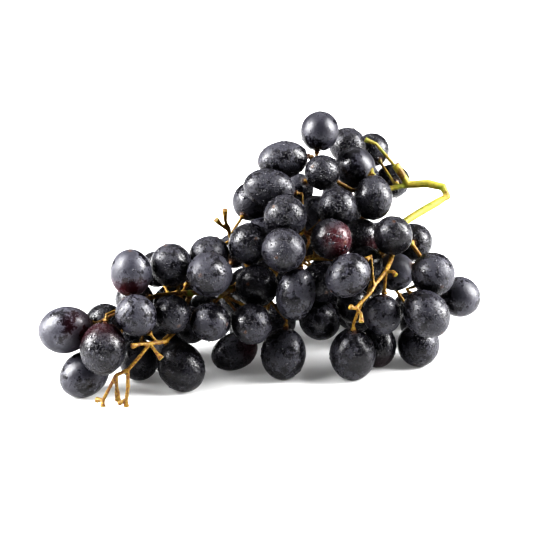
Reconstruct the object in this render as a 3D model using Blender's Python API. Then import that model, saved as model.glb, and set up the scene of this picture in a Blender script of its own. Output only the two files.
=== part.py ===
"""A bunch of black table grapes, lying on its side on a flat surface.

Metres, +Z up. The stalk is one grown piece: peduncle, rachis, side branches, bare twigs and
one pedicel for each berry. Every berry is a body of revolution about its own stem axis. The
berries that the bunch lies on are pressed flat where they meet the surface.

The origin is on the surface, under the middle of the bunch. +X runs along its length, towards
the cut peduncle.
"""

from collections import namedtuple

import bmesh
import bpy
import numpy as np
from mathutils import Matrix, Vector

MM = 0.001

# Overall size of the bunch. The places further down are drawn in a bunch of DRAWN_SIZE.
BUNCH_LENGTH = 0.197
BUNCH_DEPTH = 0.131
BUNCH_HEIGHT = 0.108
DRAWN_SIZE = (0.197, 0.131, 0.108)

# Berries. Each berry's own size is a percentage of BERRY_WIDTH.
BERRY_WIDTH = 0.0185
ROUND = 1.05
OVAL = 1.17
LONG = 1.38
PRESSED_FLAT = 0.0007

# Stalk. A branch tapers from its first width to its second.
PEDUNCLE_WIDTH = 0.0036
RACHIS_TIP_WIDTH = 0.0020
BRANCH_WIDTH = 0.0026
BRANCH_TIP_WIDTH = 0.0016
TWIG_WIDTH = 0.0016
KNOB_WIDTH = 0.0027
PEDICEL_WIDTH = 0.0015
PEDICEL_STRAIGHT = 0.0030
STRAIGHT_SHARE = 1 / 3
BEND_STEP = 0.0005
MOST_BEND_STEPS = 24
COLLAR_WIDTH = 0.0032
COLLAR_LENGTH = 0.0012
BASEWARD = 0.0040

# Fits
CLEARANCE = 0.0003
FLOOR_GAP = 0.0006
NECK_WIDTH = 0.0050

# Settling. The berries give mostly front to back, and a spring that fades holds them in place.
ROUNDS = 4000
SPARE = 0.00006
HOLD = 0.05
HOLD_ROUNDS = 450
GIVES = (0.35, 1.0, 0.45)
TUBE_PUSH = 0.7
GATHER_PULL = 0.1

# Mesh fineness
BERRY_SIDES = 10
RESTING_SIDES = 12
BERRY_RINGS = 8
RACHIS_SIDES = 8
BRANCH_SIDES = 6
CURVE_STEP = 0.008
ROUTE_SAMPLES = 200
SHARP_ANGLE = 1.0
WELD = 0.000001

# Finishes
SKIN_COLOUR = (0.012, 0.011, 0.022)
SKIN_ROUGHNESS = 0.32
STALK_COLOUR = (0.42, 0.33, 0.05)
STALK_ROUGHNESS = 0.55

Branch = namedtuple("Branch", "name parent widths route")
Berry = namedtuple("Berry", "place size shape stem rests")

# Routes and places are in whole millimetres of a bunch of DRAWN_SIZE. A branch starts inside its
# parent, so that the two grow together.
BRANCHES = [
    Branch("rachis", None, (PEDUNCLE_WIDTH, RACHIS_TIP_WIDTH), [
        (65, 42, 80), (71, 40, 71), (80, 38, 72), (87, 36, 71), (89, 34, 67), (84, 31, 65),
        (76, 26, 62), (68, 20, 59), (63, 12, 54), (54, 13, 44), (40, 16, 42), (25, 12, 44),
        (10, 6, 42), (-4, -2, 38), (-16, -12, 37), (-30, -18, 38), (-45, -24, 39), (-57, -33, 38),
    ]),
    Branch("shoulder", "rachis", (BRANCH_WIDTH, BRANCH_TIP_WIDTH), [
        (71, 40, 71), (60, 38, 69), (51, 31, 70), (43, 21, 74), (36, 21, 78), (29, 26, 84), (23, 28, 88),
    ]),
    Branch("right", "rachis", (BRANCH_WIDTH, BRANCH_TIP_WIDTH), [
        (63, 12, 54), (70, 9, 52), (75, 8, 45), (77, 10, 36), (76, 9, 28),
    ]),
    Branch("front", "rachis", (BRANCH_WIDTH, BRANCH_TIP_WIDTH), [
        (63, 12, 54), (61, 2, 51), (59, -9, 50), (56, -18, 48), (51, -27, 46), (49, -31, 44), (42, -38, 39),
    ]),
    Branch("middle", "rachis", (BRANCH_WIDTH, BRANCH_TIP_WIDTH), [
        (27, 13, 44), (25, 8, 52), (22, 2, 58), (19, -2, 64),
    ]),
    Branch("crown", "rachis", (BRANCH_WIDTH, BRANCH_TIP_WIDTH), [
        (-2, -1, 39), (-8, 4, 48), (-13, 4, 57), (-14, 2, 63),
    ]),
    Branch("under", "rachis", (BRANCH_WIDTH, BRANCH_TIP_WIDTH), [
        (8, 5, 42), (6, -1, 33), (4, -6, 26),
    ]),
    Branch("bare", "rachis", (BRANCH_WIDTH, TWIG_WIDTH), [
        (-30, -18, 38), (-34, -22, 30), (-37, -32, 25), (-40, -42, 25), (-46, -49, 27),
        (-50, -53, 23), (-55, -56, 18), (-60, -57, 16),
    ]),
    Branch("back_right", "rachis", (BRANCH_WIDTH, BRANCH_TIP_WIDTH), [
        (55, 13, 45), (56, 24, 38), (55, 34, 34), (54, 42, 33),
    ]),
    Branch("back_middle", "rachis", (BRANCH_WIDTH, BRANCH_TIP_WIDTH), [
        (25, 12, 44), (23, 22, 40), (20, 30, 36), (19, 36, 34),
    ]),
    Branch("back_left", "rachis", (BRANCH_WIDTH, BRANCH_TIP_WIDTH), [
        (-14, -10, 37), (-15, -2, 32), (-18, 6, 27),
    ]),
    Branch("back_end", "rachis", (BRANCH_WIDTH, BRANCH_TIP_WIDTH), [
        (-30, -18, 38), (-37, -12, 36), (-44, -9, 33),
    ]),
]

# Bare twigs, whose berries have come off.
TWIGS = [
    [(65, 42, 79), (60, 41, 85), (55, 40, 91), (50, 40, 93)],
    [(-60, -57, 16), (-63, -57, 10), (-66, -56, 4), (-69, -54, 3)],
    [(-66, -56, 4), (-66, -57, 3), (-66, -58, 2)],
    [(-60, -57, 16), (-60, -56, 10), (-60, -54, 3)],
    [(-55, -56, 18), (-55, -58, 11), (-56, -58, 4), (-56, -58, 2)],
    [(-56, -58, 5), (-58, -58, 4), (-59, -57, 3)],
    [(-46, -49, 27), (-43, -52, 24), (-41, -53, 22)],
    [(-46, -49, 27), (-50, -52, 28), (-53, -54, 28)],
    [(42, -38, 39), (41, -41, 40), (39, -42, 41)],
    [(42, -38, 39), (44, -40, 37), (44, -42, 34)],
    [(56, -18, 48), (59, -20, 49), (60, -22, 48)],
    [(-14, 3, 61), (-15, 0, 66), (-15, -3, 72)],
    [(-13, 3, 60), (-17, 0, 64), (-19, -2, 67)],
]

UP = (0.1, 0.3, 1)
DOWN = (0, 0.1, -1)
RIGHT = (1, 0.2, 0.1)

# Berries by the branch that carries them. A stem direction of None points at the branch.
BERRIES = {
    "rachis": [
        Berry((-83, -38, 29), 109, OVAL, (1, 0.1, 0.2), False),
        Berry((-65, -50, 24), 105, OVAL, (0.1, 0.4, 1), False),
        Berry((-55, -30, 52), 97, OVAL, DOWN, False),
        Berry((-68, -26, 27), 92, ROUND, None, False),
        Berry((-75, -43, 10), 105, OVAL, (0.8, 0.4, 0.5), True),
        Berry((-53, -23, 9), 96, ROUND, None, True),
        Berry((-38, -20, 52), 99, ROUND, None, False),
        Berry((-21, -32, 52), 104, OVAL, (0.3, 0.9, -0.3), False),
        Berry((-38, -38, 35), 90, ROUND, None, False),
        Berry((27, -12, 40), 96, ROUND, None, False),
        Berry((48, -2, 47), 87, ROUND, None, False),
        Berry((40, -6, 25), 88, ROUND, None, False),
    ],
    "bare": [
        Berry((-51, -43, 37), 94, ROUND, None, False),
        Berry((-22, -34, 31), 92, ROUND, None, False),
        Berry((-34, -35, 10), 108, OVAL, (-0.5, 0.5, 0.6), True),
    ],
    "crown": [
        Berry((-21, -12, 53), 96, ROUND, None, False),
        Berry((-5, -10, 57), 100, ROUND, None, False),
        Berry((-3, 18, 68), 97, ROUND, None, False),
        Berry((1, 10, 57), 88, ROUND, None, False),
    ],
    "under": [
        Berry((-1, -16, 41), 103, ROUND, None, False),
        Berry((-3, -30, 29), 98, ROUND, None, False),
        Berry((-11, -13, 8), 89, LONG, (0.8, 0.5, 0.2), True),
        Berry((11, -23, 11), 108, OVAL, UP, True),
        Berry((31, -6, 23), 98, ROUND, None, False),
    ],
    "middle": [
        Berry((11, -26, 61), 103, ROUND, None, False),
        Berry((17, -22, 40), 93, LONG, (0.2, 0.3, 1), False),
        Berry((32, -12, 62), 98, ROUND, None, False),
        Berry((35, 1, 71), 94, ROUND, None, False),
        Berry((26, 18, 63), 92, ROUND, None, False),
        Berry((12, -9, 70), 102, ROUND, None, False),
        Berry((5, 5, 79), 93, LONG, (0.9, 0.1, -0.2), False),
    ],
    "front": [
        Berry((39, -28, 50), 97, OVAL, (0.7, 0.4, 0.5), False),
        Berry((42, -24, 12), 111, OVAL, (0, -0.1, 1), True),
        Berry((54, -11, 10), 92, OVAL, UP, True),
        Berry((55, -16, 29), 93, ROUND, None, False),
        Berry((60, -6, 60), 93, ROUND, None, False),
    ],
    "right": [
        Berry((73, -9, 10), 104, ROUND, None, True),
        Berry((74, -24, 32), 106, OVAL, (-0.5, 0.6, 0.5), False),
        Berry((78, -11, 43), 106, ROUND, None, False),
        Berry((93, 6, 27), 100, ROUND, None, False),
        Berry((73, 26, 47), 96, ROUND, None, False),
        Berry((63, 14, 37), 95, ROUND, None, False),
    ],
    "shoulder": [
        Berry((51, 11, 50), 94, ROUND, None, False),
        Berry((51, 15, 67), 96, OVAL, (0, 0.6, 1), False),
        Berry((11, 22, 88), 92, LONG, RIGHT, False),
        Berry((28, 32, 99), 96, ROUND, None, False),
        Berry((29, 16, 84), 86, ROUND, None, False),
        Berry((43, 52, 86), 94, ROUND, None, False),
        Berry((45, 34, 81), 104, ROUND, None, False),
        Berry((55, 62, 82), 88, ROUND, None, False),
        Berry((51, 50, 73), 85, ROUND, None, False),
        Berry((64, 56, 68), 90, ROUND, None, False),
        Berry((18, 38, 69), 84, ROUND, None, False),
    ],
}

# Berries at the back of the bunch, pressed together in groups.
GROUPS = {
    "back_right": [
        [
            Berry((76, 18, 9), 94, ROUND, None, True),
            Berry((73, 36, 9), 96, ROUND, None, True),
            Berry((86, 31, 24), 92, ROUND, None, False),
        ],
        [
            Berry((45, 34, 9), 98, ROUND, None, True),
            Berry((55, 44, 23), 96, OVAL, None, False),
            Berry((58, 50, 41), 94, ROUND, None, False),
            Berry((41, 52, 40), 92, ROUND, None, False),
            Berry((74, 42, 40), 92, ROUND, None, False),
            Berry((38, 54, 60), 90, ROUND, None, False),
            Berry((48, 16, 14), 90, ROUND, None, False),
            Berry((34, 16, 21), 90, ROUND, None, False),
            Berry((44, 38, 56), 88, ROUND, None, False),
        ],
    ],
    "back_middle": [
        [
            Berry((25, 36, 9), 94, ROUND, None, True),
            Berry((33, 47, 24), 96, OVAL, None, False),
            Berry((24, 48, 42), 96, ROUND, None, False),
        ],
        [
            Berry((12, 40, 26), 94, ROUND, None, False),
            Berry((4, 34, 43), 96, ROUND, None, False),
            Berry((19, 50, 55), 88, ROUND, None, False),
            Berry((2, 40, 60), 92, ROUND, None, False),
        ],
    ],
    "back_left": [
        [
            Berry((-7, 17, 9), 96, ROUND, None, True),
            Berry((-6, 27, 26), 94, ROUND, None, False),
            Berry((-20, 20, 36), 96, ROUND, None, False),
            Berry((-12, 31, 39), 90, ROUND, None, False),
            Berry((0, 16, 40), 88, ROUND, None, False),
            Berry((-14, 37, 13), 92, ROUND, None, False),
            Berry((9, 10, 13), 90, ROUND, None, False),
            Berry((-26, 12, 20), 90, ROUND, None, False),
        ],
    ],
    "back_end": [
        [
            Berry((-41, -5, 9), 92, ROUND, None, True),
            Berry((-42, 6, 27), 94, ROUND, None, False),
            Berry((-55, -4, 26), 92, ROUND, None, False),
            Berry((-30, 1, 42), 90, ROUND, None, False),
            Berry((-46, 5, 39), 88, ROUND, None, False),
            Berry((-60, -2, 10), 90, ROUND, None, False),
            Berry((-32, -12, 20), 88, ROUND, None, False),
            Berry((-46, -20, 21), 86, ROUND, None, False),
        ],
    ],
}


def placed(point):
    """A place drawn in whole millimetres, scaled to the bunch's real size."""
    drawn = np.array(point, float) * MM
    return drawn * (BUNCH_LENGTH, BUNCH_DEPTH, BUNCH_HEIGHT) / DRAWN_SIZE


def unit(vectors):
    return vectors / np.linalg.norm(vectors, axis=-1, keepdims=True)


def smooth_route(points):
    """Points along a Catmull-Rom curve through the route, about CURVE_STEP apart."""
    route = np.array([placed(point) for point in points])
    before = np.vstack([2 * route[0] - route[1], route[:-2]])
    after = np.vstack([route[2:], 2 * route[-1] - route[-2]])
    curve = [route[0]]
    for start, end, lead, follow in zip(route[:-1], route[1:], before, after):
        steps = max(1, round(np.linalg.norm(end - start) / CURVE_STEP))
        for t in np.arange(1, steps + 1) / steps:
            bend = 2 * lead - 5 * start + 4 * end - follow
            turn = 3 * start - lead - 3 * end + follow
            curve.append(start + ((end - lead) * t + bend * t**2 + turn * t**3) / 2)
    return np.array(curve)


def tapered(curve, widths):
    """A radius for each point of the curve, from half the first width to half the second."""
    along = np.linspace(0, 1, len(curve))
    return (widths[0] + (widths[1] - widths[0]) * along) / 2


def attach_point(curve, place):
    """Where a berry's pedicel leaves its branch: nearest to the berry, then a little towards the base."""
    runs = np.linalg.norm(np.diff(curve, axis=0), axis=1)
    along = np.concatenate([[0], np.cumsum(runs)])
    fine = np.linspace(0, along[-1], ROUTE_SAMPLES)
    points = np.stack([np.interp(fine, along, curve[:, k]) for k in range(3)], axis=1)
    nearest = fine[np.argmin(np.linalg.norm(points - place, axis=1))]
    at = max(nearest - BASEWARD, min(BASEWARD, along[-1] / 2))
    return np.array([np.interp(at, along, curve[:, k]) for k in range(3)])


class Bunch:
    """The berries' centres, stem axes and half sizes, and the tubes that they keep clear of."""

    def __init__(self):
        self.curves = {branch.name: smooth_route(branch.route) for branch in BRANCHES}
        self.names = []
        rows = []
        count = 0
        for branch, berries in BERRIES.items():
            for berry in berries:
                count += 1
                self.names.append(f"berry_{count:02d}")
                rows.append((branch, berry))
        count = 0
        for branch, groups in GROUPS.items():
            for group in groups:
                count += 1
                for berry in group:
                    self.names.append(f"back_berries_{count}")
                    rows.append((branch, berry))
        self.centres = np.array([placed(berry.place) for _, berry in rows])
        self.across = np.array([BERRY_WIDTH / 2 * berry.size / 100 for _, berry in rows])
        self.along = np.array([berry.shape for _, berry in rows]) * self.across
        self.rests = np.array([berry.rests for _, berry in rows])
        self.attached = np.array(
            [attach_point(self.curves[branch], placed(berry.place)) for branch, berry in rows]
        )
        self.given = [berry.stem for _, berry in rows]
        self.mates = self.neighbours()
        self.fixed = self.fixed_tubes()

    def neighbours(self):
        """Pairs within each group: every berry but the first, with the nearest one before it."""
        pairs = []
        for i, name in enumerate(self.names):
            earlier = [j for j in range(i) if self.names[j] == name]
            if earlier:
                gaps = np.linalg.norm(self.centres[earlier] - self.centres[i], axis=1)
                pairs.append((earlier[np.argmin(gaps)], i))
        return pairs

    def fixed_tubes(self):
        """Starts, ends and radii of the straight runs of every branch and twig."""
        starts, ends, radii = [], [], []
        runs = [(self.curves[b.name], tapered(self.curves[b.name], b.widths)) for b in BRANCHES]
        for points in TWIGS:
            curve = smooth_route(points)
            runs.append((curve, np.full(len(curve), KNOB_WIDTH / 2)))
        for curve, radius in runs:
            starts.append(curve[:-1])
            ends.append(curve[1:])
            radii.append(np.maximum(radius[:-1], radius[1:]))
        return np.vstack(starts), np.vstack(ends), np.concatenate(radii)

    def axes(self):
        """Unit vectors from each berry's centre to its stem end."""
        towards = unit(self.attached - self.centres)
        for i, given in enumerate(self.given):
            if given is not None:
                towards[i] = unit(np.array(given, float))
        return towards

    def reach(self, normals, axes, along, across):
        """How far each berry reaches from its centre in the direction of the normal."""
        cosine = np.sum(normals * axes, axis=-1)
        return np.sqrt(along**2 * cosine**2 + across**2 * (1 - cosine**2))

    def own_gaps(self, axes, bend):
        """The room between each berry and its own pedicel, from the bend to the branch."""
        run = self.attached - bend
        t = np.sum((self.centres - bend) * run, axis=1) / np.sum(run * run, axis=1)
        apart = bend + run * np.clip(t, 0, 1)[:, None] - self.centres
        distance = np.linalg.norm(apart, axis=1)
        own = self.reach(apart / distance[:, None], axes, self.along, self.across)
        return distance - own - PEDICEL_WIDTH / 2

    def pedicels(self):
        """Three points for each pedicel: at the berry, at its bend, and on the branch.

        One with a given stem direction runs straight until the rest of it clears its own berry.
        """
        axes = self.axes()
        top = self.centres + axes * (self.along + CLEARANCE)[:, None]
        far = np.linalg.norm(self.attached - top, axis=1)
        straight = np.minimum(PEDICEL_STRAIGHT, far * STRAIGHT_SHARE)
        turned = np.array([given is not None for given in self.given])
        for _ in range(MOST_BEND_STEPS):
            bend = top + axes * straight[:, None]
            tight = turned & (self.own_gaps(axes, bend) < 0)
            if not tight.any():
                break
            straight = straight + BEND_STEP * tight
        return top, bend, self.attached

    def settle(self):
        """Moves the berries apart, mostly front to back, until nothing touches."""
        drawn = self.centres.copy()
        for count in range(ROUNDS):
            axes = self.axes()
            hold = HOLD * max(0, 1 - count / HOLD_ROUNDS)
            moves = (drawn - self.centres) * hold
            worst = self.part_berries(axes, moves)
            worst = max(worst, self.clear_tubes(axes, moves))
            self.gather_mates(axes, moves)
            self.centres += moves
            height = self.reach(np.array([0.0, 0.0, 1.0]), self.axes(), self.along, self.across)
            floor = np.where(self.rests, height - PRESSED_FLAT, height + FLOOR_GAP)
            lifted = np.maximum(self.centres[:, 2], floor)
            self.centres[:, 2] = np.where(self.rests, floor, lifted)
            if worst < SPARE / 2:
                break
        return worst

    def shifts(self, normals, amounts):
        """Steps that open a gap by these amounts along the normals, mostly front to back."""
        eased = normals * GIVES
        return eased * (amounts / np.sum(normals * eased, axis=-1))[..., None]

    def part_berries(self, axes, moves):
        """Adds the steps that part berries which touch, and gives the largest overlap."""
        apart = self.centres[None] - self.centres[:, None]
        # A berry and itself have no distance, so any direction stands in for theirs.
        np.einsum("iik->ik", apart)[:] = (0, 0, 1)
        distance = np.linalg.norm(apart, axis=-1)
        normals = apart / distance[..., None]
        own = self.reach(normals, axes[:, None], self.along[:, None], self.across[:, None])
        other = self.reach(normals, axes[None], self.along[None], self.across[None])
        short = own + other + CLEARANCE + SPARE - distance
        np.fill_diagonal(short, 0)
        short = np.maximum(short, 0)
        moves -= self.shifts(normals, short / 2).sum(axis=1)
        return short.max()

    def clear_tubes(self, axes, moves):
        """Adds the steps that clear the berries of the stalk, and gives the largest overlap."""
        top, bend, base = self.pedicels()
        owner = np.arange(len(top))
        fixed_starts, fixed_ends, fixed_radii = self.fixed
        nobody = np.full(len(fixed_radii), -1)
        starts = np.vstack([top, bend, fixed_starts])
        ends = np.vstack([bend, base, fixed_ends])
        collars = np.full(len(top), COLLAR_WIDTH / 2)
        pedicels = np.full(len(top), PEDICEL_WIDTH / 2)
        radii = np.concatenate([collars, pedicels, fixed_radii])
        owners = np.concatenate([owner, owner, nobody])
        run = ends - starts
        offset = self.centres[:, None] - starts[None]
        t = np.sum(offset * run[None], axis=-1) / np.sum(run * run, axis=-1)
        closest = starts[None] + run[None] * np.clip(t, 0, 1)[..., None]
        apart = closest - self.centres[:, None]
        distance = np.linalg.norm(apart, axis=-1)
        normals = apart / distance[..., None]
        own = self.reach(normals, axes[:, None], self.along[:, None], self.across[:, None])
        short = own + radii[None] + CLEARANCE + SPARE - distance
        short[owner[:, None] == owners[None]] = 0
        short = np.maximum(short, 0)
        moves -= self.shifts(normals, short * TUBE_PUSH).sum(axis=1)
        return short.max()

    def gather_mates(self, axes, moves):
        """Adds the steps that draw the berries of a group together."""
        for i, j in self.mates:
            apart = self.centres[j] - self.centres[i]
            distance = np.linalg.norm(apart)
            normal = apart / distance
            own = self.reach(normal, axes[i], self.along[i], self.across[i])
            other = self.reach(normal, axes[j], self.along[j], self.across[j])
            loose = distance - own - other - CLEARANCE - SPARE
            if loose > 0:
                moves[i] += normal * loose * GATHER_PULL
                moves[j] -= normal * loose * GATHER_PULL


def material(name, colour, roughness):
    made = bpy.data.materials.new(name)
    made.use_nodes = True
    shader = made.node_tree.nodes["Principled BSDF"]
    shader.inputs["Base Color"].default_value = (*colour, 1)
    shader.inputs["Roughness"].default_value = roughness
    shader.inputs["Metallic"].default_value = 0
    return made


def mesh_of(thing):
    """The object's shape as it is evaluated, as a mesh of its own."""
    graph = bpy.context.evaluated_depsgraph_get()
    return bpy.data.meshes.new_from_object(thing.evaluated_get(graph))


def tube(name, points, radii, sides, helpers):
    """A closed mesh tube through the points, with its own radius at each."""
    curve = bpy.data.curves.new(name, "CURVE")
    curve.dimensions = "3D"
    curve.bevel_depth = 1
    # A round bevel has four sides, and two more for each step of its resolution.
    curve.bevel_resolution = (sides - 4) // 2
    curve.use_fill_caps = True
    spline = curve.splines.new("POLY")
    spline.points.add(len(points) - 1)
    for point, place, radius in zip(spline.points, points, radii):
        point.co = (*place, 1)
        point.radius = radius
    guide = bpy.data.objects.new(name + "_guide", curve)
    helpers.objects.link(guide)
    solid = bpy.data.objects.new(name, mesh_of(guide))
    solid.matrix_world = guide.matrix_world.copy()
    helpers.objects.link(solid)
    bpy.data.objects.remove(guide)
    work = bmesh.new()
    work.from_mesh(solid.data)
    bmesh.ops.remove_doubles(work, verts=work.verts, dist=WELD)
    bmesh.ops.recalc_face_normals(work, faces=work.faces)
    work.to_mesh(solid.data)
    work.free()
    return solid


def island(seed):
    """Every vertex that edges join to this one."""
    found = {seed}
    waiting = [seed]
    while waiting:
        for edge in waiting.pop().link_edges:
            for vertex in edge.verts:
                if vertex not in found:
                    found.add(vertex)
                    waiting.append(vertex)
    return found


def keep_largest_island(mesh):
    """Drops the crumbs that a union leaves where thin tubes cross."""
    work = bmesh.new()
    work.from_mesh(mesh)
    islands = []
    left = set(work.verts)
    while left:
        islands.append(island(next(iter(left))))
        left -= islands[-1]
    largest = max(islands, key=len)
    bmesh.ops.delete(work, geom=[vertex for vertex in work.verts if vertex not in largest], context="VERTS")
    work.to_mesh(mesh)
    work.free()


def grown_together(name, pieces, finish, parts, helpers):
    """One solid from pieces that overlap."""
    first, others = pieces[0], pieces[1:]
    group = bpy.data.collections.new(name + "_pieces")
    helpers.children.link(group)
    for other in others:
        helpers.objects.unlink(other)
        group.objects.link(other)
    union = first.modifiers.new("grown together", "BOOLEAN")
    union.operation = "UNION"
    union.solver = "EXACT"
    union.use_self = True
    union.operand_type = "COLLECTION"
    union.collection = group
    mesh = mesh_of(first)
    for piece in pieces:
        bpy.data.objects.remove(piece)
    bpy.data.collections.remove(group)
    keep_largest_island(mesh)
    return finished(name, mesh, finish, parts)


def finished(name, mesh, finish, parts):
    """The mesh as a named object of the bunch, shaded smooth and in its own material."""
    mesh.name = name
    mesh.materials.clear()
    mesh.materials.append(finish)
    mesh.shade_smooth()
    mesh.set_sharp_from_angle(angle=SHARP_ANGLE)
    made = bpy.data.objects.new(name, mesh)
    parts.objects.link(made)
    return made


def berry_mesh(bunch, i, turn):
    """A berry about its stem axis, which is its local +Z, with its underside cut flat if it rests."""
    work = bmesh.new()
    sides = RESTING_SIDES if bunch.rests[i] else BERRY_SIDES
    bmesh.ops.create_uvsphere(work, u_segments=sides, v_segments=BERRY_RINGS, radius=1)
    size = Vector((bunch.across[i], bunch.across[i], bunch.along[i]))
    bmesh.ops.scale(work, vec=size, verts=work.verts)
    if bunch.rests[i]:
        up = turn.inverted() @ Vector((0, 0, 1))
        underside = up * -bunch.centres[i][2]
        geometry = work.verts[:] + work.edges[:] + work.faces[:]
        bmesh.ops.bisect_plane(work, geom=geometry, plane_co=underside, plane_no=up, clear_inner=True)
        bmesh.ops.holes_fill(work, edges=[edge for edge in work.edges if edge.is_boundary])
    mesh = bpy.data.meshes.new("berry")
    work.to_mesh(mesh)
    work.free()
    return mesh


def stem_turn(bunch, i):
    """The rotation that takes +Z to the berry's stem axis."""
    return Vector(bunch.axes()[i]).to_track_quat("Z", "Y")


def make_berry(name, bunch, i, finish, parts):
    turn = stem_turn(bunch, i)
    made = finished(name, berry_mesh(bunch, i, turn), finish, parts)
    made.rotation_mode = "QUATERNION"
    made.rotation_quaternion = turn
    made.location = bunch.centres[i]
    return made


def make_group(name, bunch, members, finish, parts, helpers):
    """Berries pressed together, joined by a short neck where they meet."""
    pieces = []
    for i in members:
        turn = stem_turn(bunch, i)
        mesh = berry_mesh(bunch, i, turn)
        mesh.transform(Matrix.LocRotScale(Vector(bunch.centres[i]), turn, None))
        piece = bpy.data.objects.new(f"{name}_{i}", mesh)
        helpers.objects.link(piece)
        pieces.append(piece)
    for i, j in (pair for pair in bunch.mates if pair[0] in members):
        ends = [bunch.centres[i], bunch.centres[j]]
        radii = [NECK_WIDTH / 2, NECK_WIDTH / 2]
        pieces.append(tube(f"{name}_neck_{j}", ends, radii, RACHIS_SIDES, helpers))
    return grown_together(name, pieces, finish, parts, helpers)


def make_berries(bunch, finish, parts, helpers):
    made = []
    for name in dict.fromkeys(bunch.names):
        members = [i for i, own in enumerate(bunch.names) if own == name]
        if len(members) == 1:
            made.append(make_berry(name, bunch, members[0], finish, parts))
        else:
            made.append(make_group(name, bunch, members, finish, parts, helpers))
    return made


def branch_pieces(bunch, helpers):
    pieces = []
    for branch in BRANCHES:
        curve = bunch.curves[branch.name]
        sides = BRANCH_SIDES if branch.parent else RACHIS_SIDES
        pieces.append(tube(branch.name, curve, tapered(curve, branch.widths), sides, helpers))
    for number, points in enumerate(TWIGS):
        curve = smooth_route(points)
        radii = np.full(len(curve), TWIG_WIDTH / 2)
        radii[-1] = KNOB_WIDTH / 2
        pieces.append(tube(f"twig_{number}", curve, radii, BRANCH_SIDES, helpers))
    return pieces


def pedicel_pieces(bunch, helpers):
    """A pedicel for each berry, which flares to a collar at the berry's stem end."""
    pieces = []
    for number, (top, bend, base) in enumerate(zip(*bunch.pedicels())):
        neck = top + unit(bend - top) * COLLAR_LENGTH
        route = [base, neck, top] if bunch.given[number] is None else [base, bend, neck, top]
        radii = np.full(len(route), PEDICEL_WIDTH / 2)
        radii[-1] = COLLAR_WIDTH / 2
        pieces.append(tube(f"pedicel_{number}", route, radii, BRANCH_SIDES, helpers))
    return pieces


def make_stalk(bunch, finish, parts, helpers):
    """Rachis, side branches, twigs and pedicels, all grown together."""
    pieces = branch_pieces(bunch, helpers) + pedicel_pieces(bunch, helpers)
    return grown_together("stalk", pieces, finish, parts, helpers)


def bounds(objects):
    """Lowest and highest corner of the objects as they are evaluated."""
    graph = bpy.context.evaluated_depsgraph_get()
    corners = []
    for made in objects:
        evaluated = made.evaluated_get(graph)
        points = np.array([evaluated.matrix_world @ vertex.co for vertex in evaluated.data.vertices])
        corners += [points.min(axis=0), points.max(axis=0)]
    return np.min(corners, axis=0), np.max(corners, axis=0)


def main():
    for old in list(bpy.data.objects):
        bpy.data.objects.remove(old)
    parts = bpy.data.collections.new("bunch of grapes")
    helpers = bpy.data.collections.new("pieces that are joined")
    bpy.context.scene.collection.children.link(parts)
    bpy.context.scene.collection.children.link(helpers)
    skin = material("black grape skin", SKIN_COLOUR, SKIN_ROUGHNESS)
    wood = material("green stalk", STALK_COLOUR, STALK_ROUGHNESS)
    bunch = Bunch()
    print("worst overlap left, mm:", round(1000 * bunch.settle(), 4))
    made = make_berries(bunch, skin, parts, helpers)
    made.append(make_stalk(bunch, wood, parts, helpers))
    bpy.data.collections.remove(helpers)
    low, high = bounds(made)
    root = bpy.data.objects.new("bunch", None)
    parts.objects.link(root)
    root.location = (-(low[0] + high[0]) / 2, -(low[1] + high[1]) / 2, 0)
    for piece in made:
        piece.parent = root
    print("size, mm:", (1000 * (high - low)).round(1))


main()
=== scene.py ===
# %% [markdown]
# A bunch of black grapes
#
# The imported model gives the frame: every berry as a coarse solid, and the stalk with its
# branches. This script reads the true shape of each berry back from those solids, and grows a
# fine skin, bloom, dew and bark on them. Every piece sits where the frame says.

# %% Open the frame
import math
from collections import namedtuple

import bmesh
import bpy
import numpy as np
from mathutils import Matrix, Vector
from mathutils.bvhtree import BVHTree


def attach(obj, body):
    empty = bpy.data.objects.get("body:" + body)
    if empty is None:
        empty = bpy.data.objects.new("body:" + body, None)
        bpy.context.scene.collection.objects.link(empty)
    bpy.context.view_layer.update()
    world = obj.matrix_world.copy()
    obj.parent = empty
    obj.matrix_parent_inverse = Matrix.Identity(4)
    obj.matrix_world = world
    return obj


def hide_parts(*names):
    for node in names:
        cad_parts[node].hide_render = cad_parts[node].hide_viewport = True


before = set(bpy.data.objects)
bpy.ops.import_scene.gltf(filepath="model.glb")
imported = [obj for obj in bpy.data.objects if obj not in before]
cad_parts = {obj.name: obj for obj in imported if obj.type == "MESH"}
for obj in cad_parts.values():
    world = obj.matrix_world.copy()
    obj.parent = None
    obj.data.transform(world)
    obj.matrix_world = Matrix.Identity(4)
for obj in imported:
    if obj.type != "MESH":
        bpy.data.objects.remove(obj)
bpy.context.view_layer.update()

MM = 0.001

# %% [markdown]
# ## Camera
#
# The bunch lies a little more than half a metre away and is seen from slightly above, so that
# both its side and its top show. A long lens keeps the berries' sizes true from front to back.

# %% Camera
AIM = Vector((-0.5, -5.2, 44)) * MM
CAMERA_DISTANCE = 600 * MM
CAMERA_RISE = math.radians(20)
LENS = 89.1

lens = bpy.data.cameras.new("camera")
lens.lens = LENS
camera = bpy.data.objects.new("camera", lens)
bpy.context.scene.collection.objects.link(camera)
away = Vector((0, -math.cos(CAMERA_RISE), math.sin(CAMERA_RISE)))
camera.location = AIM + away * CAMERA_DISTANCE
camera.rotation_euler = away.to_track_quat("Z", "Y").to_euler()
bpy.context.scene.camera = camera
print("camera at, mm:", [round(place / MM) for place in camera.location])

# %% [markdown]
# ## Shader sums as plain expressions
#
# A finish is a small program: a mask times a noise plus a little more. Node by node that is
# hard to read. `Value` wraps one socket, so that `1 - mask * 0.5` adds the Math nodes it needs,
# and `Finish.node` makes any other node from its type, settings and inputs.

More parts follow.
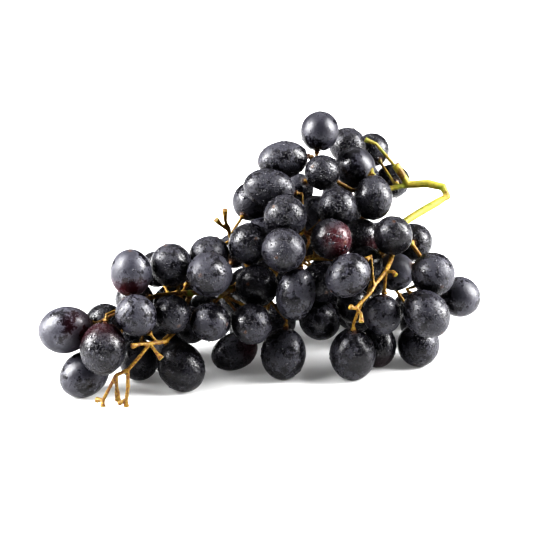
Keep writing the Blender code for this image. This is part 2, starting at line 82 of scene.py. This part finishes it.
# %% Values and finishes
class Value:
    """A socket of a material, which can be summed and multiplied like a number."""

    def __init__(self, finish, socket):
        self.finish = finish
        self.socket = socket

    def math(self, operation, first, second):
        return self.finish.node("ShaderNodeMath", {"operation": operation}, {0: first, 1: second})

    def __add__(self, other):
        return self.math("ADD", self, other)

    def __sub__(self, other):
        return self.math("SUBTRACT", self, other)

    def __rsub__(self, other):
        return self.math("SUBTRACT", other, self)

    def __mul__(self, other):
        return self.math("MULTIPLY", self, other)

    def at_least(self, other):
        return self.math("MAXIMUM", self, other)

    def at_most(self, other):
        return self.math("MINIMUM", self, other)

    __radd__ = __add__
    __rmul__ = __mul__


class Finish:
    """A material with a Principled shader, and short ways to add nodes to it."""

    def __init__(self, name, **constants):
        self.material = bpy.data.materials.new(name)
        self.material.use_nodes = True
        self.tree = self.material.node_tree
        self.shader = self.tree.nodes["Principled BSDF"]
        for socket, constant in constants.items():
            self.shader.inputs[socket.replace("_", " ")].default_value = constant

    def node(self, kind, settings=(), inputs=(), output=0):
        """A node of this type: its settings first, then a value or a link for each input."""
        made = self.tree.nodes.new(kind)
        for setting, choice in dict(settings).items():
            setattr(made, setting, choice)
        for socket, given in dict(inputs).items():
            self.feed(made.inputs[socket], given)
        return Value(self, made.outputs[output])

    def feed(self, socket, given):
        if isinstance(given, Value):
            self.tree.links.new(given.socket, socket)
        else:
            socket.default_value = given

    def set(self, **inputs):
        """Links values to the shader's own inputs."""
        for socket, given in inputs.items():
            self.feed(self.shader.inputs[socket.replace("_", " ")], given)

    def place(self):
        """The point on the piece, in metres."""
        return self.node("ShaderNodeTexCoord", output="Object")

    def noise(self, size, detail=2.0, roughness=0.5, offset=0.0):
        """Clouds whose blots are about this size in metres, from 0 to 1."""
        place = self.place()
        if offset:
            place = self.node("ShaderNodeVectorMath", {"operation": "ADD"}, {0: place, 1: (offset,) * 3})
        inputs = {"Vector": place, "Scale": 1 / size, "Detail": detail, "Roughness": roughness}
        return self.node("ShaderNodeTexNoise", inputs=inputs)

    def cells(self, size):
        """The distance to the middle of the nearest of many cells of this size, from 0."""
        return self.node("ShaderNodeTexVoronoi", inputs={"Vector": self.place(), "Scale": 1 / size})

    def painted(self, name):
        """A number that the mesh holds at each of its points."""
        return self.node("ShaderNodeAttribute", {"attribute_name": name}, output="Fac")

    def step(self, value, low, high):
        """0 where the value is under low, 1 where it is over high, and smooth between."""
        inputs = {"Value": value, "From Min": low, "From Max": high}
        return self.node("ShaderNodeMapRange", {"interpolation_type": "SMOOTHSTEP"}, inputs)

    def mix(self, share, first, second):
        """A colour between two."""
        colours = [given if isinstance(given, Value) else (*given, 1) for given in (first, second)]
        inputs = {0: share, 6: colours[0], 7: colours[1]}
        return self.node("ShaderNodeMix", {"data_type": "RGBA"}, inputs, output=2)

    def bump(self, height, depth, under=None):
        """A normal that makes the height, from 0 to 1, look this many metres deep."""
        inputs = {"Height": height, "Distance": depth, "Strength": 1.0}
        if under is not None:
            inputs["Normal"] = under
        return self.node("ShaderNodeBump", inputs=inputs)


# %% [markdown]
# ## Where each berry is
#
# Each coarse berry has its corners on a true ellipsoid. Step in from the middle of every face
# by a berry's radius, and the points gather at the berries' centres, also in a node that holds
# several berries. The ellipsoid through the corners then follows from least squares, because an
# ellipsoid is a surface where a sum of squares and products of x, y and z is one.

# %% Read the berries from the frame
Berry = namedtuple("Berry", "name node centre turn size")

TYPICAL_RADIUS = 9 * MM
GATHER_WITHIN = 6 * MM
FEWEST_FACES = 30
ON_SURFACE = 0.1 * MM
FLOOR_BAND = 0.2 * MM
FITTING_ROUNDS = 3


def corners_of(node):
    return np.array([vertex.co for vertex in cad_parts[node].data.vertices])


def face_groups(node):
    """The node's faces, gathered by the centre that they bulge around."""
    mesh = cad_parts[node].data
    groups = []
    for face in mesh.polygons:
        if face.center.z < FLOOR_BAND:
            continue
        guess = np.array(face.center - face.normal * TYPICAL_RADIUS)
        near = [group for group in groups if np.linalg.norm(guess - group[0] / len(group[1])) < GATHER_WITHIN]
        if near:
            near[0][0] += guess
            near[0][1].append(face)
        else:
            groups.append([guess, [face]])
    return [faces for _, faces in groups if len(faces) >= FEWEST_FACES]


def ellipsoid_through(points):
    """Centre, axes and half sizes of the ellipsoid that fits the points best."""
    middle = points.mean(axis=0)
    x, y, z = ((points - middle) / MM).T
    terms = np.stack([x * x, y * y, z * z, 2 * x * y, 2 * x * z, 2 * y * z, 2 * x, 2 * y, 2 * z], axis=1)
    a, b, c, d, e, f, *slope = np.linalg.lstsq(terms, np.ones(len(points)), rcond=None)[0]
    squares = np.array([[a, d, e], [d, b, f], [e, f, c]])
    centre = -np.linalg.solve(squares, slope)
    strengths, axes = np.linalg.eigh(squares / (1 + centre @ squares @ centre))
    return middle + centre * MM, axes, MM / np.sqrt(strengths)


def off_surface(points, centre, axes, size):
    """How far the points are off the ellipsoid, about."""
    inside = np.linalg.norm((points - centre) @ axes / size, axis=1)
    return np.abs(inside - 1) * size.min()


def read_berry(name, node, faces):
    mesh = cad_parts[node].data
    numbers = sorted({number for face in faces for number in face.vertices})
    points = np.array([mesh.vertices[number].co for number in numbers])
    points = points[points[:, 2] > FLOOR_BAND]
    for _ in range(FITTING_ROUNDS):
        centre, axes, size = ellipsoid_through(points)
        good = off_surface(points, centre, axes, size) < ON_SURFACE
        points = points[good | (good.sum() < FEWEST_FACES)]
    # The longest half size, which comes first, lies along the stem axis.
    stem = axes[:, 0]
    poles = [centre + stem * size[0], centre - stem * size[0]]
    reach = [np.linalg.norm(stalk_corners - pole, axis=1).min() for pole in poles]
    stem = stem if reach[0] < reach[1] else -stem
    side = np.cross(stem, (0.0, 0.0, 1.0) if abs(stem[2]) < 0.9 else (1.0, 0.0, 0.0))
    side /= np.linalg.norm(side)
    turn = np.stack([side, np.cross(stem, side), stem])
    return Berry(name, node, centre, turn, np.array([size[1], size[1], size[0]]))


stalk_corners = corners_of("stalk")
berries = []
for node in sorted(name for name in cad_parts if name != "stalk"):
    for faces in face_groups(node):
        if node.startswith("back"):
            name = f"back_grape_{sum(berry.node.startswith('back') for berry in berries) + 1:02d}"
        else:
            name = node.replace("berry", "grape")
        berries.append(read_berry(name, node, faces))
widths = [2 * berry.size[0] / MM for berry in berries]
print(len(berries), "berries,", round(min(widths), 1), "to", round(max(widths), 1), "mm wide")

# %% [markdown]
# ## The shape of a berry
#
# A berry is nearly an ellipsoid, but never quite: it is a little fuller towards one end, it
# swells and sinks softly from side to side, the skin rises to a small boss inside a shallow
# dimple where the stem holds it, and a tiny scar marks the other end. A sphere with poles would
# pinch the shading there, so the berry starts as a cube, cut fine and blown up to a ball.

# %% A ball without poles
BALL_CUTS = 27


def make_ball():
    """Directions and faces of a cube that is blown up to a ball."""
    work = bmesh.new()
    bmesh.ops.create_cube(work, size=2)
    bmesh.ops.subdivide_edges(work, edges=work.edges, cuts=BALL_CUTS, use_grid_fill=True)
    cube = np.array([vertex.co for vertex in work.verts])
    # The tangent keeps the squares near a cube's corners as large as those in the middle.
    cube = np.tan(cube * math.pi / 4)
    work.verts.ensure_lookup_table()
    faces = [[vertex.index for vertex in face.verts] for face in work.faces]
    work.free()
    return cube / np.linalg.norm(cube, axis=1, keepdims=True), faces


ball, ball_faces = make_ball()
print("a berry has", len(ball_faces), "faces")

# %% The skin's relief
DIMPLE_DEPTH = 0.35 * MM
DIMPLE_RADIUS = 3.6 * MM
BOSS_HEIGHT = 0.30 * MM
BOSS_RADIUS = 1.7 * MM
SCAR_HEIGHT = 0.12 * MM
SCAR_RADIUS = 0.55 * MM
SWELL = 0.20 * MM
SWELL_WAVES = 7
SWELL_PITCH = 2.2
SWELL_GAIN = 1.6
FULLNESS = 0.03
SOFT_EDGE = 0.25 * MM

rng = np.random.default_rng(11)


def smooth_step(value, low, high):
    share = np.clip((value - low) / (high - low), 0, 1)
    return share * share * (3 - 2 * share)


def swelling(directions):
    """Soft random hollows and swells, from about -1 to 1."""
    total = np.zeros(len(directions))
    for _ in range(SWELL_WAVES):
        wave = rng.normal(size=3) * SWELL_PITCH
        total += np.sin(directions @ wave + rng.uniform(0, 2 * math.pi))
    return total / SWELL_WAVES * SWELL_GAIN


def relief(berry):
    """How far each point of the skin stands out from the ellipsoid."""
    points = ball * berry.size
    across = np.linalg.norm(points[:, :2], axis=1)
    stem_end, blossom_end = ball[:, 2] > 0, ball[:, 2] < 0
    out = SWELL * swelling(ball)
    out *= smooth_step(across, 0, DIMPLE_RADIUS)
    dimple = 1 - smooth_step(across, BOSS_RADIUS, DIMPLE_RADIUS)
    boss = 1 - smooth_step(across, BOSS_RADIUS / 2, BOSS_RADIUS)
    out -= stem_end * DIMPLE_DEPTH * dimple * (1 - boss)
    out += stem_end * BOSS_HEIGHT * boss
    out += blossom_end * SCAR_HEIGHT * (1 - smooth_step(across, SCAR_RADIUS / 2, SCAR_RADIUS))
    return out


def berry_points(berry):
    """The berry's points in the frame, pressed flat where they would go under the surface."""
    directions = ball.copy()
    directions[:, :2] *= 1 - FULLNESS * (ball[:, 2:] * ball[:, 2:] * 0.4 + 0.1 * ball[:, 2:])
    normals = ball / berry.size
    normals /= np.linalg.norm(normals, axis=1, keepdims=True)
    local = directions * berry.size + normals * relief(berry)[:, None]
    points = berry.centre + local @ berry.turn
    height = points[:, 2]
    # A smooth maximum of the height and zero rounds the edge of the flat patch.
    pressed = SOFT_EDGE * np.exp(np.minimum(height / SOFT_EDGE - 1, 0))
    points[:, 2] = np.where(height < SOFT_EDGE, pressed, height)
    resting = points[:, 2] < SOFT_EDGE
    lowest = points[:, 2].min()
    points[resting, 2] -= lowest * (1 - points[resting, 2] / SOFT_EDGE)
    return points, normals @ berry.turn


# %% [markdown]
# ## What the skin remembers
#
# A material alone can't know where a berry was rubbed, where it faces its neighbour, or which
# end holds the stem. Numbers painted on the mesh can: `rubbed` where the nearest berries press,
# `stem` around the pedicel, `scar` at the other end, `red` where the skin is thin and unripe,
# `wet` for how much dew it caught, and `shade` for how much bloom this berry grew.

# %% Numbers painted on the skin
PRESSED = 0.4 * MM
PRESS_WITHIN = 3.2 * MM
STEM_RING = 3.0 * MM
SCAR_RING = 1.1 * MM
# How red the skin shows, and towards which side: the stem end or the blossom end.
RED_BERRIES = {
    "grape_03": (1.0, 1), "grape_22": (1.0, 1), "grape_43": (0.5, -1), "grape_27": (0.8, -1),
    "grape_01": (0.35, 1), "grape_02": (0.45, 1), "grape_34": (0.35, -1), "grape_51": (0.6, -1),
}
# Berries that stayed dry, with their bloom whole, and how wet they are on a scale from 0 to 1.
DRY_BERRIES = ["grape_01", "grape_03", "grape_40", "grape_42", "grape_46", "grape_49", "grape_05"]
DRY = 0.12
LEAST_DEW = 0.45


def rubbed(berry, points):
    """1 where another berry nearly touches this one, fading to 0 a few millimetres off."""
    mark = np.zeros(len(points))
    for other in berries:
        if other is berry or np.linalg.norm(other.centre - berry.centre) > 3 * TYPICAL_RADIUS:
            continue
        gap = (points - other.centre) @ other.turn.T / other.size
        gap = (np.linalg.norm(gap, axis=1) - 1) * other.size.min()
        mark = np.maximum(mark, 1 - smooth_step(gap, PRESSED, PRESS_WITHIN))
    return mark


def skin_marks(berry, points):
    across = np.linalg.norm(ball[:, :2] * berry.size[:2], axis=1)
    share, end = RED_BERRIES.get(berry.name, (0.0, 1))
    side = np.sin(ball[:, 0] * 2 + ball[:, 1] * 1.3) * 0.25
    return {
        "rubbed": rubbed(berry, points),
        "stem": (ball[:, 2] > 0) * (1 - smooth_step(across, STEM_RING * 0.45, STEM_RING)),
        "scar": (ball[:, 2] < 0) * (1 - smooth_step(across, SCAR_RING * 0.4, SCAR_RING)),
        "red": share * smooth_step(ball[:, 2] * end + side, -0.1, 0.9),
        "wet": np.full(len(points), wetness[berry.name]),
        "shade": np.full(len(points), shades[berry.name]),
    }


wetness = {berry.name: rng.uniform(LEAST_DEW, 1.0) for berry in berries}
wetness.update({name: DRY for name in DRY_BERRIES})
shades = {berry.name: rng.uniform(0, 1) for berry in berries}
print("wettest:", max(wetness, key=wetness.get), "driest:", min(wetness, key=wetness.get))


# %% Pieces from points and faces
def new_piece(name, points, faces, finish):
    """A smooth mesh piece that rides on the bunch."""
    mesh = bpy.data.meshes.new(name)
    mesh.from_pydata(points.tolist(), [], faces)
    mesh.shade_smooth()
    mesh.materials.append(finish.material)
    piece = bpy.data.objects.new(name, mesh)
    bpy.context.scene.collection.objects.link(piece)
    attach(piece, "root")
    return piece


def paint(piece, marks):
    for name, numbers in marks.items():
        layer = piece.data.attributes.new(name, "FLOAT", "POINT")
        layer.data.foreach_set("value", np.asarray(numbers, np.float32))


# %% [markdown]
# ## Grape skin
#
# The skin itself is almost black, with a hint of violet and wine. On it lies bloom, a dry
# grey-blue wax. It is what makes black grapes look blue: it scatters light, so it needs a
# lighter colour and a rougher surface, and every touch wipes it off down to the gloss below.
# Dried drops leave rings and freckles in it. Where the berry is wet the film of water darkens
# the bloom and shines.

# %% Grape skin finish
SKIN = (0.0022, 0.0016, 0.0032)
WINE = (0.060, 0.008, 0.012)
BLOOM = (0.042, 0.0415, 0.052)
PALE_BLOOM = (0.215, 0.214, 0.252)
RUSSET = (0.12, 0.06, 0.03)
CLOUD = 9 * MM
BLOT = 2.6 * MM
GRAIN = 0.55 * MM
FRECKLE = 1.15 * MM
SPECK = 0.62 * MM
WRINKLE_DEPTH = 0.14 * MM
DEW_DEPTH = 0.32 * MM


def make_skin():
    skin = Finish("grape_skin", IOR=1.45, Specular_IOR_Level=0.5)
    wet = skin.painted("wet")
    shade = skin.painted("shade")
    clouds = skin.noise(CLOUD, detail=3)
    blots = skin.noise(BLOT, detail=5, roughness=0.62, offset=0.3)
    grain = skin.noise(GRAIN, detail=3, roughness=0.6)
    cover = blots * 0.8 + clouds * 0.9 + (grain - 0.5) * 0.35 + skin.painted("rubbed") * 0.3 + wet * 0.12
    wiped = skin.step(cover, 0.80, 1.01)
    freckles = skin.step(skin.cells(FRECKLE), 0.22, 0.42)
    specks = skin.step(skin.cells(SPECK), 0.16, 0.40)
    spotted = (1 - freckles) * wet + (1 - specks) * wet * 0.7
    bloom = (1 - wiped * 0.97) * (1 - spotted.at_most(1.0) * 0.75)
    # How much bloom a berry grew, broken up by the grain, and less where dew has darkened it.
    bloom = bloom * (0.5 + shade * 0.45) * (0.4 + grain * 1.2) * (1 - wet * 0.2)
    red = skin.painted("red")
    base = skin.mix(red, SKIN, WINE)
    waxy = skin.mix(skin.step(clouds + (blots - 0.5) * 0.6, 0.38, 0.70), BLOOM, PALE_BLOOM)
    colour = skin.mix(bloom * (1 - red * 0.45), base, waxy)
    marks = skin.painted("stem").at_least(skin.painted("scar")) * skin.step(grain, 0.35, 0.6) * 0.7
    colour = skin.mix(marks, colour, RUSSET)
    roughness = 0.12 + bloom * 0.42 + grain * 0.08
    beads = (1 - freckles) * wet * 0.8 + (1 - specks) * wet * 0.4
    wrinkle = skin.bump(blots * 0.6 + grain * (0.3 + wet * 0.4), WRINKLE_DEPTH)
    normal = skin.bump(beads, DEW_DEPTH, under=wrinkle)
    skin.set(Base_Color=colour, Roughness=roughness, Normal=normal)
    return skin


skin = make_skin()

# %% Grow the berries
skins = {}
for berry in berries:
    points, normals = berry_points(berry)
    piece = new_piece(berry.name, points, ball_faces, skin)
    paint(piece, skin_marks(berry, points))
    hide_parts(berry.node)
    skins[berry.name] = (points, normals)
print("grown:", len(skins), "berries")

# %% [markdown]
# ## Dew
#
# Water on a grape doesn't spread: the wax makes it bead. On a skin this dark a drop shows
# nothing of what is below it but black, and is all gloss, so it is made as a real bead with its
# own dark, mirror-smooth finish. About seven beads in ten are under 0.8 mm wide, the rest up to
# twice that.

# %% Dew finish and beads
WATER_DARK = (0.020, 0.019, 0.026)
BEAD_SIDES = 9
BEAD_RINGS = 5
MOST_BEADS = 150
SMALL_BEAD = 0.27 * MM
LARGE_BEADS = (0.40 * MM, 0.75 * MM)
BEAD_SPREAD = (0.55, 1.5)
LARGE_SHARE = 0.3
FLATNESS = 0.42
OFF_THE_FLOOR = 2 * MM

water = Finish("dew", Base_Color=(*WATER_DARK, 1), Roughness=0.06, IOR=1.45, Specular_IOR_Level=0.9)


def bead_shape():
    work = bmesh.new()
    bmesh.ops.create_uvsphere(work, u_segments=BEAD_SIDES, v_segments=BEAD_RINGS, radius=1)
    work.verts.ensure_lookup_table()
    points = np.array([vertex.co for vertex in work.verts])
    faces = [[vertex.index for vertex in face.verts] for face in work.faces]
    work.free()
    return points, faces


bead_points, bead_faces = bead_shape()


def bead_places(points, count):
    """Random points of the skin that keep off each other, with a radius for each."""
    found = []
    for _ in range(count * 2):
        direction = rng.normal(size=3)
        direction /= np.linalg.norm(direction)
        large = rng.uniform() < LARGE_SHARE
        radius = rng.uniform(*LARGE_BEADS) if large else SMALL_BEAD * rng.uniform(*BEAD_SPREAD)
        near = np.argmax(ball @ direction)
        if any(np.linalg.norm(points[near] - place) < radius + other for place, other, _ in found):
            continue
        found.append((points[near], radius, near))
        if len(found) == count:
            break
    return found


def make_dew(berry):
    """The beads of water on one berry, as one piece."""
    count = int(MOST_BEADS * wetness[berry.name] ** 1.5)
    skin_points, skin_normals = skins[berry.name]
    points, faces = [], []
    for place, radius, near in bead_places(skin_points, count):
        normal = skin_normals[near]
        side = np.cross(normal, (0.3, 0.2, 0.93))
        side /= np.linalg.norm(side)
        turn = np.stack([side, np.cross(normal, side), normal])
        size = radius * np.array([rng.uniform(0.85, 1.15), rng.uniform(0.9, 1.25), FLATNESS])
        if place[2] < OFF_THE_FLOOR:
            continue
        start = len(points) * len(bead_points)
        points.append(place + (bead_points * size) @ turn)
        faces += [[number + start for number in face] for face in bead_faces]
    if points:
        new_piece(berry.name + "_dew", np.vstack(points), faces, water)
    return len(points)


print(sum(make_dew(berry) for berry in berries), "beads of dew")

# %% [markdown]
# ## The stalk
#
# The frame's stalk is a skeleton of straight-sided tubes. The real one is grown: its forks are
# webbed, its branches swell at each joint, and its skin is ribbed and warty. Turning the tubes
# into one fine shell of equal squares (a voxel remesh) welds the forks, smoothing rounds them,
# and then every point moves in or out by what grows there.

# %% One fine shell
SHELL_SQUARE = 0.38 * MM
SMOOTHINGS = 5
SMOOTHING = 0.5
LOST_TO_SMOOTHING = 0.06 * MM


def stalk_shell():
    """The frame's stalk, remeshed to small squares and smoothed, as points, normals and faces."""
    copy = bpy.data.objects.new("stalk_copy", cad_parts["stalk"].data.copy())
    bpy.context.scene.collection.objects.link(copy)
    remesh = copy.modifiers.new("fine shell", "REMESH")
    remesh.mode = "VOXEL"
    remesh.voxel_size = SHELL_SQUARE
    smooth = copy.modifiers.new("round the forks", "SMOOTH")
    smooth.factor = SMOOTHING
    smooth.iterations = SMOOTHINGS
    evaluated = copy.evaluated_get(bpy.context.evaluated_depsgraph_get())
    mesh = evaluated.to_mesh()
    points = np.array([vertex.co for vertex in mesh.vertices])
    normals = np.array([vertex.normal for vertex in mesh.vertices])
    faces = [list(face.vertices) for face in mesh.polygons]
    evaluated.to_mesh_clear()
    bpy.data.objects.remove(copy)
    return points, normals, faces


shell, shell_normals, shell_faces = stalk_shell()
print("the stalk has", len(shell_faces), "squares")

# %% [markdown]
# How thick the stalk is at each point tells what grows there: the thick peduncle is smooth and
# green, thin twigs are ribbed and golden, and where a ray from the skin runs far inside before it
# meets the other side, the point is on a cut or torn end.

# %% Measure the stalk
RAY_START = 0.05 * MM
FAR = 9 * MM


def thickness_at(points, normals, faces):
    """How far the stalk goes on behind each point of its skin."""
    tree = BVHTree.FromPolygons(points.tolist(), faces)
    found = []
    for point, normal in zip(points, normals):
        inward = Vector(-normal)
        hit = tree.ray_cast(Vector(point) + inward * RAY_START, inward, FAR)
        found.append(FAR if hit[3] is None else hit[3])
    return np.array(found)


def spread(values, faces, rounds):
    """Evens the values out between neighbouring points."""
    pairs = np.array([[face[k - 1], face[k]] for face in faces for k in range(len(face))])
    for _ in range(rounds):
        total = np.zeros(len(values))
        number = np.zeros(len(values))
        np.add.at(total, pairs[:, 0], values[pairs[:, 1]])
        np.add.at(total, pairs[:, 1], values[pairs[:, 0]])
        np.add.at(number, pairs[:, 0], 1)
        np.add.at(number, pairs[:, 1], 1)
        values = 0.5 * values + 0.5 * total / np.maximum(number, 1)
    return values


raw_thickness = thickness_at(shell, shell_normals, shell_faces)
thickness = spread(np.minimum(raw_thickness, 5 * MM), shell_faces, 8)
ends = spread(smooth_step(raw_thickness, 4.2 * MM, 7 * MM), shell_faces, 5)
to_berry = np.full(len(shell), 1.0)
# How many berries lie close to each stalk point, which sets the painted shade deep in the bunch.
shade_crowd = np.zeros(len(shell))
for berry in berries:
    inside = (shell - berry.centre) @ berry.turn.T / berry.size
    gap = (np.linalg.norm(inside, axis=1) - 1) * berry.size.min()
    to_berry = np.minimum(to_berry, gap)
    shade_crowd += 1 - smooth_step(gap, 3 * MM, 9 * MM)
print("thickness, mm:", (np.percentile(thickness, [5, 50, 95]) / MM).round(1))

# %% Grow its relief
WART = 0.10 * MM
RIB = 0.05 * MM
KNUCKLE = 0.12 * MM
COLLAR_REACH = 0.45 * MM
COLLAR_GROWTH = 0.05 * MM
LOWEST_BARK = 0.3 * MM
STOUT = 0.24 * MM
TIP_KNOB = 0.30 * MM


def waves(points, size, count, seed):
    """Soft random waves of about this size, from -1 to 1."""
    draw = np.random.default_rng(seed)
    total = np.zeros(len(points))
    for _ in range(count):
        direction = draw.normal(size=3)
        direction *= 2 * math.pi / size / np.linalg.norm(direction)
        total += np.sin(points @ direction + draw.uniform(0, 2 * math.pi))
    return total / math.sqrt(count)


thin = 1 - smooth_step(thickness, 1.9 * MM, 3.2 * MM)
low_waves = waves(shell, 7 * MM, 8, 3)
fine_waves = waves(shell, 1.1 * MM, 14, 4)
warts = smooth_step(fine_waves, 0.7, 1.6)
growth = LOST_TO_SMOOTHING + STOUT * smooth_step(thickness, 2.2 * MM, 3.0 * MM)
growth += TIP_KNOB * ends * waves(shell, 1.7 * MM, 10, 6)
growth += WART * warts * (0.25 + thin) + RIB * low_waves
growth += KNUCKLE * smooth_step(-to_berry, -3 * MM, -0.8 * MM) * fine_waves * thin
growth = np.where(to_berry < COLLAR_REACH, np.minimum(growth, COLLAR_GROWTH), growth)
bark = shell + shell_normals * growth[:, None]
bark[:, 2] = np.maximum(bark[:, 2], LOWEST_BARK)

# %% [markdown]
# ## Stalk finish
#
# A fresh stalk is yellow-green where it is thick, turns golden towards the twigs, and goes brown
# at its bend, warts, torn ends and cut. The mesh holds how green and how brown each point is, how
# thin the stalk is there, how close an end is, and how deep inside the bunch it lies, where little
# light reaches and a painted shade darkens it. Noise breaks up the borders.

# %% Stalk finish
LEAF_GREEN = (0.16, 0.175, 0.026)
YELLOW = (0.28, 0.235, 0.045)
GOLD = (0.22, 0.150, 0.020)
BROWN = (0.085, 0.026, 0.007)
CUT_BROWN = (0.10, 0.045, 0.02)
# The dark brown of the painted shade on the stalk deep inside the bunch.
PAINTED_SHADE_BROWN = (0.045, 0.018, 0.007)


def make_bark():
    finish = Finish("stalk_skin", IOR=1.45)
    green = finish.painted("green")
    thin_share = finish.painted("thin")
    brown = finish.painted("brown")
    end = finish.painted("end")
    clouds = finish.noise(6 * MM, detail=3)
    fibres = finish.noise(0.9 * MM, detail=4, roughness=0.65)
    dots = finish.step(finish.cells(1.3 * MM), 0.10, 0.30)
    fresh = finish.mix(finish.step(clouds, 0.42, 0.62), YELLOW, LEAF_GREEN)
    dry = finish.mix(finish.step(fibres, 0.38, 0.64), GOLD, BROWN)
    colour = finish.mix(finish.step(green + (clouds - 0.5) * 0.6, 0.3, 0.7), dry, fresh)
    colour = finish.mix((1 - dots) * (0.35 + thin_share * 0.4), colour, BROWN)
    colour = finish.mix(finish.step(brown + (fibres - 0.5) * 0.9, 0.35, 0.8) * 0.85, colour, BROWN)
    colour = finish.mix(finish.step(end, 0.25, 0.6), colour, CUT_BROWN)
    # Painted shade: deep inside the bunch, among the berries, the stalk is darkened to a dark brown.
    colour = finish.mix(finish.painted("inside") * 0.8, colour, PAINTED_SHADE_BROWN)
    roughness = 0.42 + fibres * 0.25
    normal = finish.bump(fibres + (1 - dots) * 0.5, 0.09 * MM)
    finish.set(Base_Color=colour, Roughness=roughness, Normal=normal)
    return finish


HIGH_UP = 50 * MM
BRUISE = (3 * MM, 9 * MM)

stalk_finish = make_bark()
grown_stalk = new_piece("grown_stalk", bark, shell_faces, stalk_finish)
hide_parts("stalk")
high_up = bark[bark[:, 2] > HIGH_UP]
hook = high_up[np.argmax(high_up[:, 0])]
bruised = 1 - smooth_step(np.linalg.norm(bark - hook, axis=1), *BRUISE)
green = smooth_step(bark[:, 0], 30 * MM, 52 * MM) * smooth_step(bark[:, 2], 40 * MM, 58 * MM)
green = np.maximum(green, smooth_step(thickness, 2.6 * MM, 3.4 * MM) * 0.8)
patches = smooth_step(waves(bark, 12 * MM, 6, 5), 0.7, 1.6)
paint(grown_stalk, {
    "green": green * (1 - 0.5 * thin) * (1 - ends),
    "thin": thin,
    "brown": np.clip(warts * 0.6 + patches * 0.7 + bruised * 0.5, 0, 1),
    "end": ends * (to_berry > 1.2 * MM),
    # inside: painted shade, strongest where the most berries are close.
    "inside": smooth_step(shade_crowd, 1.6, 3.6),
})

# %% [markdown]
# ## Floor and light
#
# A white floor runs under and behind the bunch. Broad light from above and behind makes it
# bright and lays soft shadows towards the viewer, and a faint glow of the floor's own keeps it
# white. Two wide softboxes, left and right, give each berry its two pale windows with the dark of
# the room between them, and a small lamp in front of each adds a sharp glint. The view's high
# contrast deepens the blacks.

# %% Floor
FLOOR_RADIUS = 7.0
FLOOR_WHITE = 0.58
FLOOR_GLOW = 0.12

floor_mesh = bpy.data.meshes.new("floor")
work = bmesh.new()
bmesh.ops.create_circle(work, cap_ends=True, segments=64, radius=FLOOR_RADIUS)
work.to_mesh(floor_mesh)
work.free()
floor = bpy.data.objects.new("floor", floor_mesh)
floor_finish = Finish("floor_white", Base_Color=(FLOOR_WHITE, FLOOR_WHITE, FLOOR_WHITE, 1), Roughness=0.6,
                      Emission_Color=(1, 1, 1, 1), Emission_Strength=FLOOR_GLOW)
floor_mesh.materials.append(floor_finish.material)
bpy.context.scene.collection.objects.link(floor)

# %% Lights
SOFTBOX_AIM = Vector((0, 0, 40)) * MM


def softbox(name, place, size, power):
    lamp = bpy.data.lights.new(name, "AREA")
    lamp.shape = "RECTANGLE"
    lamp.size, lamp.size_y = size
    lamp.energy = power
    light = bpy.data.objects.new(name, lamp)
    bpy.context.scene.collection.objects.link(light)
    light.location = place
    light.rotation_euler = (Vector(place) - SOFTBOX_AIM).to_track_quat("Z", "Y").to_euler()


sky = bpy.data.lights.new("overhead", "SUN")
sky.energy = 0.8
sky.angle = math.radians(70)
overhead = bpy.data.objects.new("overhead", sky)
bpy.context.scene.collection.objects.link(overhead)
overhead.rotation_euler = Vector((-0.15, 0.55, 1)).to_track_quat("Z", "Y").to_euler()
softbox("left_window", (-0.85, -0.10, 0.56), (0.70, 0.90), 34)
softbox("left_lamp", (-0.80, -0.16, 0.50), (0.07, 0.07), 2.2)
softbox("right_window", (0.85, -0.02, 0.52), (0.58, 0.90), 29)
softbox("right_lamp", (0.80, -0.10, 0.46), (0.07, 0.07), 2.0)

world = bpy.data.worlds.new("studio")
world.use_nodes = True
world.node_tree.nodes["Background"].inputs["Color"].default_value = (1, 1, 1, 1)
world.node_tree.nodes["Background"].inputs["Strength"].default_value = 0.09
bpy.context.scene.world = world
bpy.context.scene.view_settings.view_transform = "Standard"
bpy.context.scene.view_settings.look = "Very High Contrast"

# %% [markdown]
# ## Size
#
# The grown bunch has to stay the size of the frame.

# %% Update the scene
bpy.context.view_layer.update()
